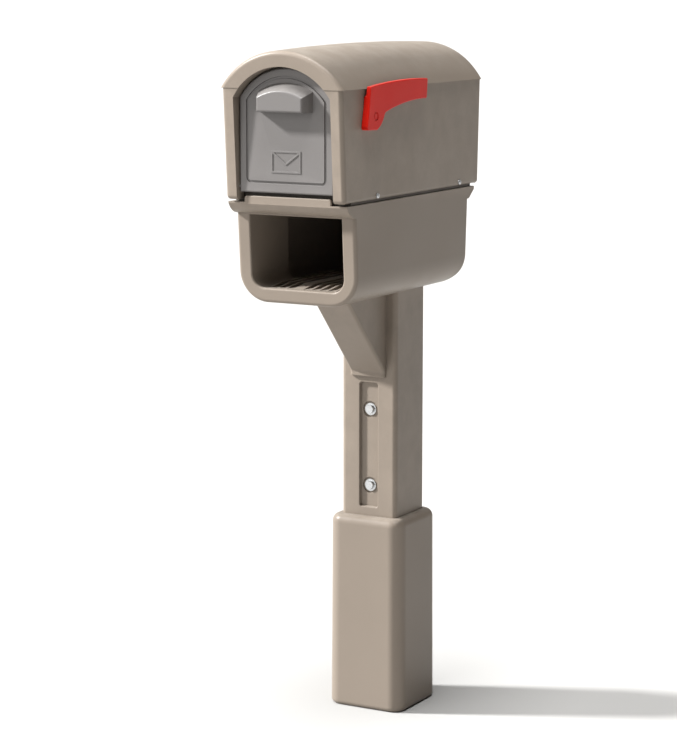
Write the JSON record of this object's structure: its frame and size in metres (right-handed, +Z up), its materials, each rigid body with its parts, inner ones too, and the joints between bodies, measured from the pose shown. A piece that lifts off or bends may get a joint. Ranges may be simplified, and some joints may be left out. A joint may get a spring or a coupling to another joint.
{
  "type": "post-mounted mailbox with newspaper box",
  "caption": "Plastic kerbside mailbox with arched hood, drop-down door, side flag and an open newspaper box below, on a square sleeve that slides over a timber post.",
  "frame": {"origin": "centre of the post sleeve's socket at the ground", "axes": "+Z up, the front (door and newspaper mouth) faces -Y, the flag is on the +X side"},
  "size_m": [0.2672, 0.5702, 1.3091],
  "materials": {
    "taupe_plastic": "fine-grained moulded plastic, taupe",
    "grey_plastic": "fine-grained moulded plastic, mid grey",
    "dark_plastic": "plain moulded plastic, dark taupe",
    "red_plastic": "satin moulded plastic, signal red",
    "zinc_steel": "zinc-plated steel",
    "ferrite": "sintered ferrite, dark grey"
  },
  "bodies": {
    "post_and_boxes": {"base_sleeve": "taupe_plastic", "post_column": "taupe_plastic", "post_lag_screws": "zinc_steel", "post_lag_washers": "zinc_steel", "support_brace": "taupe_plastic", "newspaper_box": "taupe_plastic", "newspaper_tray": "taupe_plastic", "box_to_post_screws": "zinc_steel", "box_to_post_washers": "zinc_steel", "box_to_brace_screws": "zinc_steel", "mailbox_floor": "dark_plastic", "floor_screws": "zinc_steel", "hood_shell": "taupe_plastic", "hood_side_screws": "zinc_steel", "door_hinge_pins": "zinc_steel", "catch_housing": "dark_plastic", "catch_magnet": "ferrite", "catch_screws": "zinc_steel", "flag_pivot_pin": "red_plastic", "flag_washer": "dark_plastic", "flag_push_nut": "zinc_steel"},
    "door": {"mail_door": "grey_plastic", "strike_plate": "zinc_steel", "strike_screws": "zinc_steel"},
    "flag": {"mail_flag": "red_plastic"}
  },
  "joints": [
    {"name": "door_hinge", "type": "hinge", "parent": "post_and_boxes", "child": "door", "pos_m": [0, -0.369, 1.054], "axis": [1, 0, 0], "range_deg": [0, 100]},
    {"name": "flag_hinge", "type": "hinge", "parent": "post_and_boxes", "child": "flag", "pos_m": [0.13, -0.287, 1.183], "axis": [1, 0, 0], "range_deg": [0, 90]}
  ]
}
